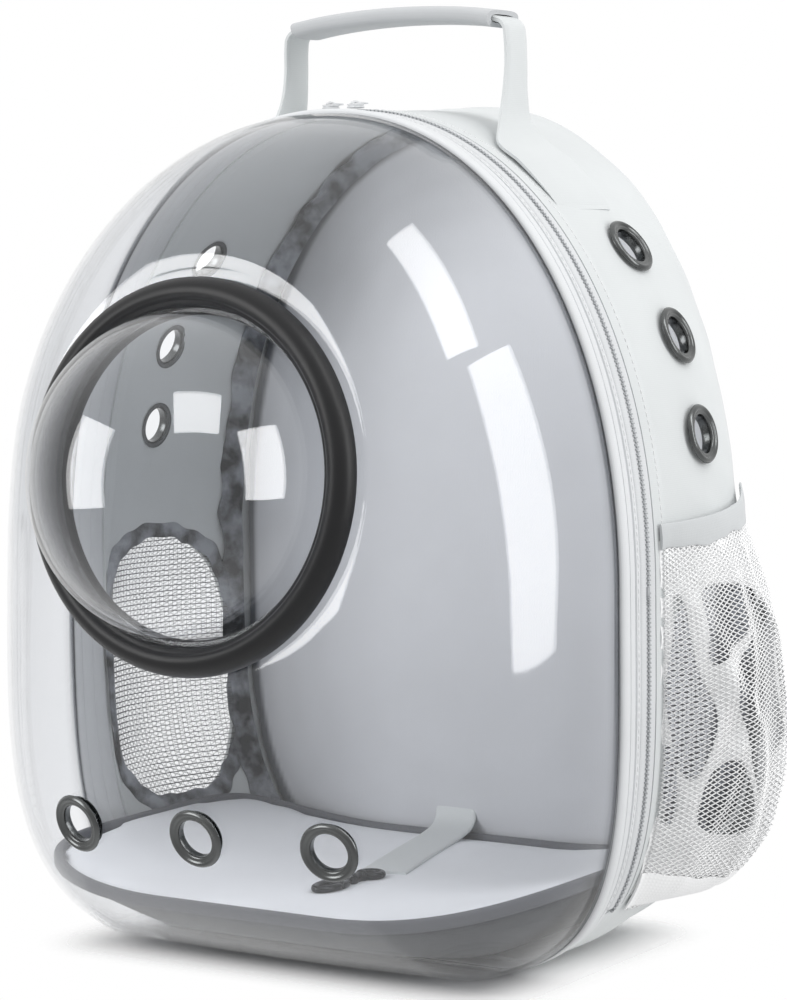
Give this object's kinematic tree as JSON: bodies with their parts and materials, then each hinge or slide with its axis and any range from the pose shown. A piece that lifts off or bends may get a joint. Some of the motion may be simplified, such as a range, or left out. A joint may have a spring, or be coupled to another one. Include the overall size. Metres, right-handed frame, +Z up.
{
  "type": "pet carrier backpack",
  "caption": "Backpack for carrying a small pet: soft cloth body with net side pockets, clear moulded front with a round bubble window, vent eyelets and a top handle.",
  "frame": {"origin": "on the floor, under the middle of the cloth base", "axes": "+Z up, the clear front faces -Y, +X is to the viewer's right when facing the front"},
  "size_m": [0.4128, 0.3764, 0.4761],
  "materials": {
    "clear_shell": "clear, smoky grey-blue, glossy",
    "clear_bubble": "clear, lightly smoked, glossy",
    "black_rubber": "satin",
    "dark_metal": "dark nickel, glossy",
    "white_cloth": "smooth coated cloth, satin",
    "white_binding": "woven binding, matte",
    "zip_tape": "woven tape and moulded chain, matte",
    "white_net": "open knitted net, matte",
    "dark_net": "fine open net, matte",
    "grey_lining": "smooth lining, satin",
    "pad_cloth": "plain cloth, matte",
    "white_webbing": "woven webbing, matte",
    "strap_padding": "padded cloth, matte",
    "grey_plastic": "moulded, matte"
  },
  "bodies": {
    "root": {"front_shell": "clear_shell", "bubble_window": "clear_bubble", "window_ring": "black_rubber", "eyelet_front_1": "dark_metal", "eyelet_front_2": "dark_metal", "eyelet_front_3": "dark_metal", "eyelet_left_1": "dark_metal", "eyelet_left_2": "dark_metal", "eyelet_left_3": "dark_metal", "eyelet_right_1": "dark_metal", "eyelet_right_2": "dark_metal", "eyelet_right_3": "dark_metal", "leash_hook": "dark_metal", "zip_slider_left": "dark_metal", "zip_slider_right": "dark_metal", "gusset": "white_cloth", "front_band": "white_cloth", "handle_strap": "white_cloth", "handle_grip": "white_cloth", "edge_piping": "white_binding", "pocket_hem_left": "white_binding", "pocket_hem_right": "white_binding", "zipper": "zip_tape", "mesh_window_left": "dark_net", "mesh_window_right": "dark_net", "mesh_pocket_left": "white_net", "mesh_pocket_right": "white_net", "back_panel": "grey_lining", "floor_pad": "pad_cloth", "leash_strap": "white_webbing", "strap_webbing_left": "white_webbing", "strap_webbing_right": "white_webbing", "shoulder_pad_left": "strap_padding", "shoulder_pad_right": "strap_padding", "strap_adjuster_left": "grey_plastic", "strap_adjuster_right": "grey_plastic"}
  },
  "joints": []
}
